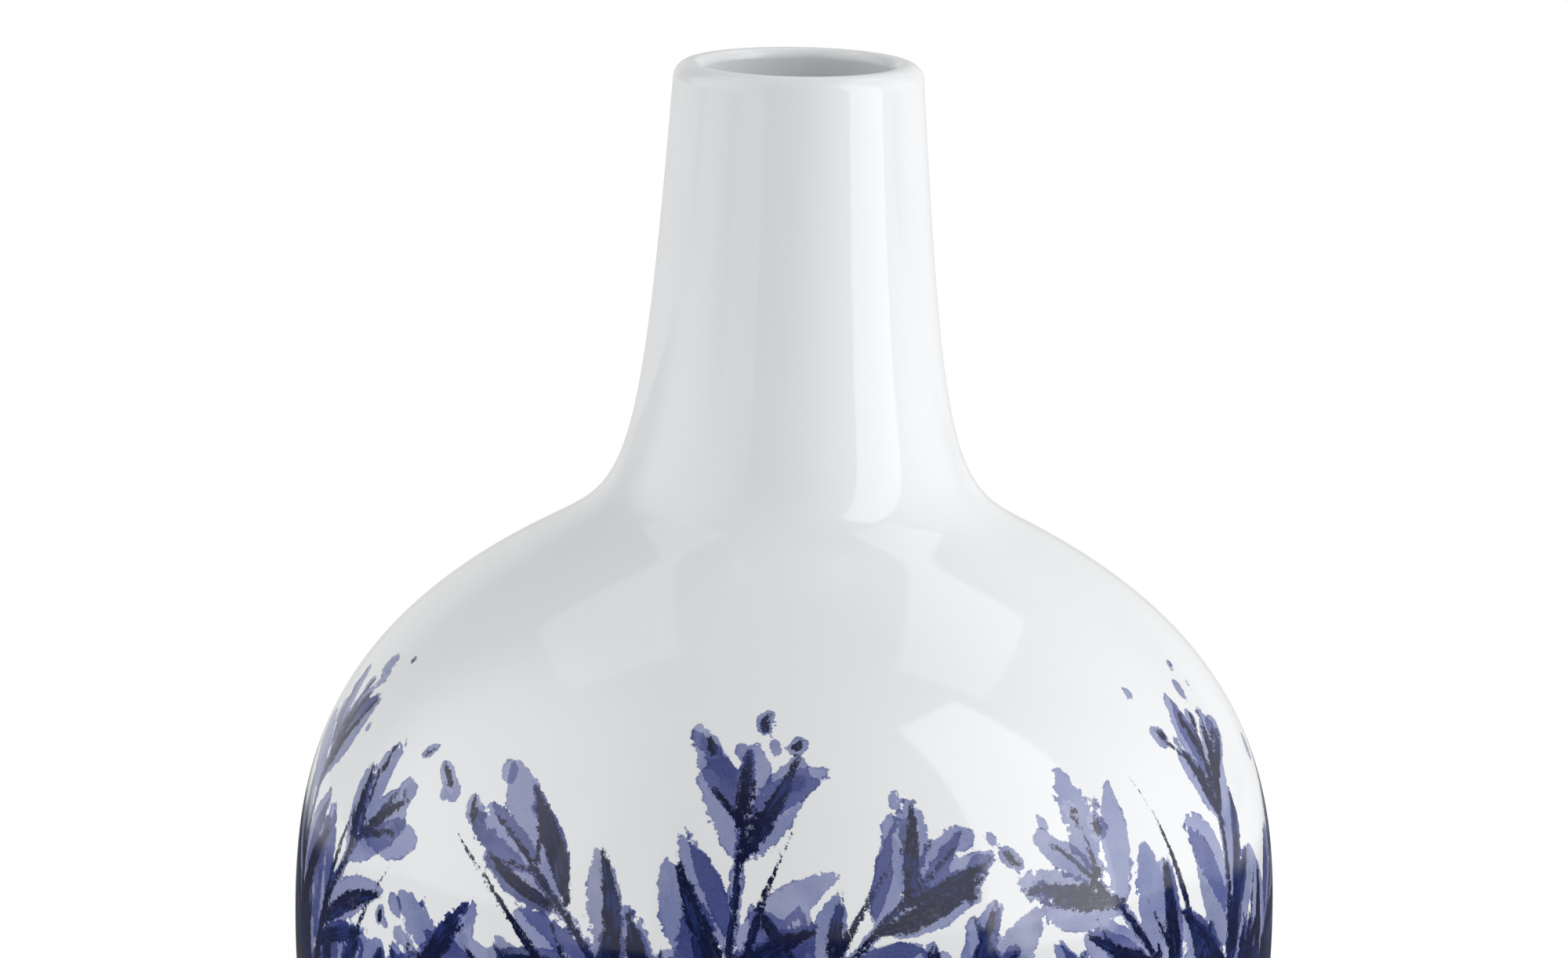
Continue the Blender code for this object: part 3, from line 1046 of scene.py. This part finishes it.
# %% [markdown]
# ## Kinds of lamp
# A studio has upright panels, soft boxes under the ceiling and white cards. Each could be placed by hand,
# with a position, a turn and a power. Here panels and cards stand round the vase between two angles, from
# the floor up, and each lamp is set by the brightness of its face, from which its power follows.

# %% Helpers that set up lamps
PANEL_DISTANCE = 1.5
NEAR_DISTANCE = 0.33
NEAR_TOP = 0.18
CEILING = 2.5
OPEN_SPREAD = 180.0  # degrees


def lamp(name, width, length, brightness, spread, place, turned):
    """A flat lamp, which the camera itself doesn't see."""
    light = bpy.data.lights.new(name, "AREA")
    light.shape = "RECTANGLE"
    light.size = width
    light.size_y = length
    light.spread = math.radians(spread)
    light.energy = brightness * math.pi * width * length
    holder = bpy.data.objects.new(name, light)
    holder.location = place
    holder.rotation_euler = turned
    holder.visible_camera = False
    bpy.context.scene.collection.objects.link(holder)
    print(f"{name}: {light.energy:.2f} W")
    return holder


def panel(name, start, end, top, brightness, distance=PANEL_DISTANCE, spread=OPEN_SPREAD):
    """An upright panel from the floor up, between two angles in degrees from the camera's side to +X."""
    middle = math.radians((start + end) / 2)
    width = 2 * distance * math.tan(math.radians((end - start) / 2))
    place = (distance * math.sin(middle), -distance * math.cos(middle), top / 2)
    return lamp(name, width, top, brightness, spread, place, (math.pi / 2, 0, middle))


def card(name, start, end, top, brightness, distance=PANEL_DISTANCE):
    """A panel that lights the vase but doesn't show in its glaze."""
    holder = panel(name, start, end, top, brightness, distance)
    holder.visible_glossy = False
    return holder


def near_card(name, start, end, brightness):
    """A low card close to the vase, which lights only the vase and so draws no line on the floor."""
    holder = card(name, start, end, NEAR_TOP, brightness, NEAR_DISTANCE)
    holder.light_linking.receiver_collection = vase


def ceiling_box(name, left, right, near, far, brightness):
    """A soft box under the ceiling that shines down."""
    place = ((left + right) / 2, (near + far) / 2, CEILING)
    lamp(name, right - left, far - near, brightness, OPEN_SPREAD, place, (0, 0, 0))


# %% [markdown]
# ## Studio light
# The glaze mirrors its surroundings, so lamps are seen as shapes on it: a tall bright panel on the right
# with sharp edges, a weak strip on the left and two soft boxes that show as patches on the shoulder. More
# lamps would add more shapes, so cards that stay out of the mirror fill the shade. Two of them stand low and
# close and light only the vase. They brighten its belly more than its neck, as a bright table does.

# %% Lamps
GRID_SPREAD = 100.0  # degrees, so a panel behind a grid looks dimmer towards its top

# Panels and cards: two angles, the top and the brightness. Boxes: left, right, near, far and brightness.
panel("key_panel", 47, 82, 3.0, 1.95)
panel("left_strip", -55, -30, 2.0, 0.22, spread=GRID_SPREAD)
ceiling_box("left_ceiling_box", -1.72, -0.7, 0.15, 1.6, 0.65)
ceiling_box("right_ceiling_box", 0.72, 1.55, 0.0, 1.75, 0.95)
card("right_card", 82, 130, 2.0, 1.33)
card("left_card", -125, -75, 2.0, 0.82)
near_card("near_left_card", -90, -20, 0.66)
near_card("near_right_card", 35, 80, 0.24)
card("low_card", -65, -25, 0.5, 0.8)

# %% [markdown]
# ## White room
# The background is plain white. Making it white with lamps would burn out the porcelain, so the world is
# white for the camera's own rays only and gives the vase an even soft light. Mirrored and transmitted rays
# meet a dim room. Its glows are soft, as light on studio walls is: one on each side, one overhead, one high
# behind on the right, and the pale backdrop behind the vase with its two corners a little brighter.

# %% World
WHITE_LIGHT = (1, 1, 1, 1)
AMBIENT = 0.44
DIM_ROOM = 0.08

world = bpy.data.worlds.new("white_room")
bpy.context.scene.world = world
sky = Sheet(world)
direction = sky.node("ShaderNodeTexCoord", {}, {}, "Generated")


def room_glow(angle, rise, edge):
    """A soft glow round a direction in degrees, from nothing where the cosine to it is edge."""
    turn_to = math.radians(angle)
    lift = math.radians(rise)
    middle = (math.sin(turn_to) * math.cos(lift), -math.cos(turn_to) * math.cos(lift), math.sin(lift))
    sockets = {0: direction, 1: middle}
    cosine = sky.node("ShaderNodeVectorMath", {"operation": "DOT_PRODUCT"}, sockets, "Value")
    return sky.step(cosine, edge, 1.0)


left_glow = 1.5 * room_glow(-85, 26, 0.70)
right_glow = 1.39 * room_glow(69, 9, 0.2)
ceiling_glow = 0.5 * room_glow(0, 90, 0.45)
backdrop = 0.5 * room_glow(180, 0, 0.38)
back_corners = 0.25 * (room_glow(-162, 7, 0.94) + room_glow(162, 7, 0.94))
high_glow = 0.52 * room_glow(150, 45, 0.85)
mirrored_room = DIM_ROOM + left_glow + right_glow + ceiling_glow + high_glow + backdrop + back_corners
camera_ray = sky.rays("Is Camera Ray")
mirrored_ray = sky.rays("Is Glossy Ray") + sky.rays("Is Transmission Ray")
strength = camera_ray + mirrored_ray * mirrored_room + (1 - camera_ray - mirrored_ray) * AMBIENT
background = sky.tree.nodes["Background"]
background.inputs["Color"].default_value = WHITE_LIGHT
sky.feed(background.inputs["Strength"], strength)
print(f"world: {len(sky.tree.nodes)} nodes")

# %% [markdown]
# ## Floor
# The vase stands on a wide sheet, without which it would seem to hang in the air. A studio would bend a
# sheet of paper up behind it. The world is white already, so here a flat sheet is enough. It isn't tied to
# the vase's body or put in its collection, so it isn't a piece of the vase.

# %% Floor
FLOOR_SIZE = 12.0

half_floor = FLOOR_SIZE / 2
floor_mesh = bpy.data.meshes.new("studio_floor")
floor_corners = [(-half_floor, -half_floor, 0), (half_floor, -half_floor, 0)]
floor_corners += [(half_floor, half_floor, 0), (-half_floor, half_floor, 0)]
floor_mesh.from_pydata(floor_corners, [], [(0, 1, 2, 3)])
floor = bpy.data.objects.new("studio_floor", floor_mesh)
bpy.context.scene.collection.objects.link(floor)
print(f"floor: {FLOOR_SIZE:.0f} m square")

# %% [markdown]
# ## Floor finish
# The floor is pale and keeps the shadow of the vase. A bright lamp could bleach it into the background, but
# it would bleach the vase as well. So for the camera it fades into the white farther out. In the mirror of
# the glaze it is dim up to the pale paper that begins a metre behind the vase, so the painting stays dark
# and the neck gets pale edges.

# %% Floor finish
FLOOR = (0.82, 0.82, 0.82, 1)
FLOOR_WHITE = 0.55  # share of white that the camera sees close to the vase
FADE_START = 0.25
FADE_END = 0.64
MIRROR_START = 0.3
MIRROR_END = 0.6
PAPER_START = 0.8
PAPER_END = 1.2
DIM_FLOOR = 0.08
PAPER_LIGHT = 0.7  # share of white that the glaze mirrors from the paper

pale_floor = Finish("pale_floor")
pale_floor.set(Base_Color=FLOOR, Roughness=0.9)
length = {"operation": "LENGTH"}
away = pale_floor.node("ShaderNodeVectorMath", length, {0: pale_floor.place}, "Value")
behind = pale_floor.node("ShaderNodeSeparateXYZ", {}, {"Vector": pale_floor.place}, "Y")
seen = pale_floor.rays("Is Camera Ray")
mirrored = pale_floor.rays("Is Glossy Ray") + pale_floor.rays("Is Transmission Ray")
paper = pale_floor.step(behind, PAPER_START, PAPER_END)
seen_white = FLOOR_WHITE + (1 - FLOOR_WHITE) * pale_floor.step(away, FADE_START, FADE_END)
far_share = seen * seen_white + mirrored * pale_floor.step(away, MIRROR_START, MIRROR_END)
glow = pale_floor.node("ShaderNodeEmission", {}, {"Color": WHITE_LIGHT, "Strength": 1.0})
dim_glow = pale_floor.node("ShaderNodeEmission", {}, {"Color": WHITE_LIGHT, "Strength": DIM_FLOOR})
white_share = seen + PAPER_LIGHT * mirrored * paper
far_floor = pale_floor.node("ShaderNodeMixShader", {}, {0: white_share, 1: dim_glow, 2: glow})
lit_floor = Wire(pale_floor, pale_floor.shader.outputs["BSDF"])
shown_floor = pale_floor.node("ShaderNodeMixShader", {}, {0: far_share, 1: lit_floor, 2: far_floor})
pale_floor.feed(pale_floor.tree.nodes["Material Output"].inputs["Surface"], shown_floor)
floor.data.materials.append(pale_floor.material)
print(f"floor finish: {len(pale_floor.tree.nodes)} nodes")

# %% [markdown]
# ## Colour
# The Standard view shows colours as they are written, where a film-like view would grey the white.

# %% Colour
bpy.context.scene.view_settings.view_transform = "Standard"
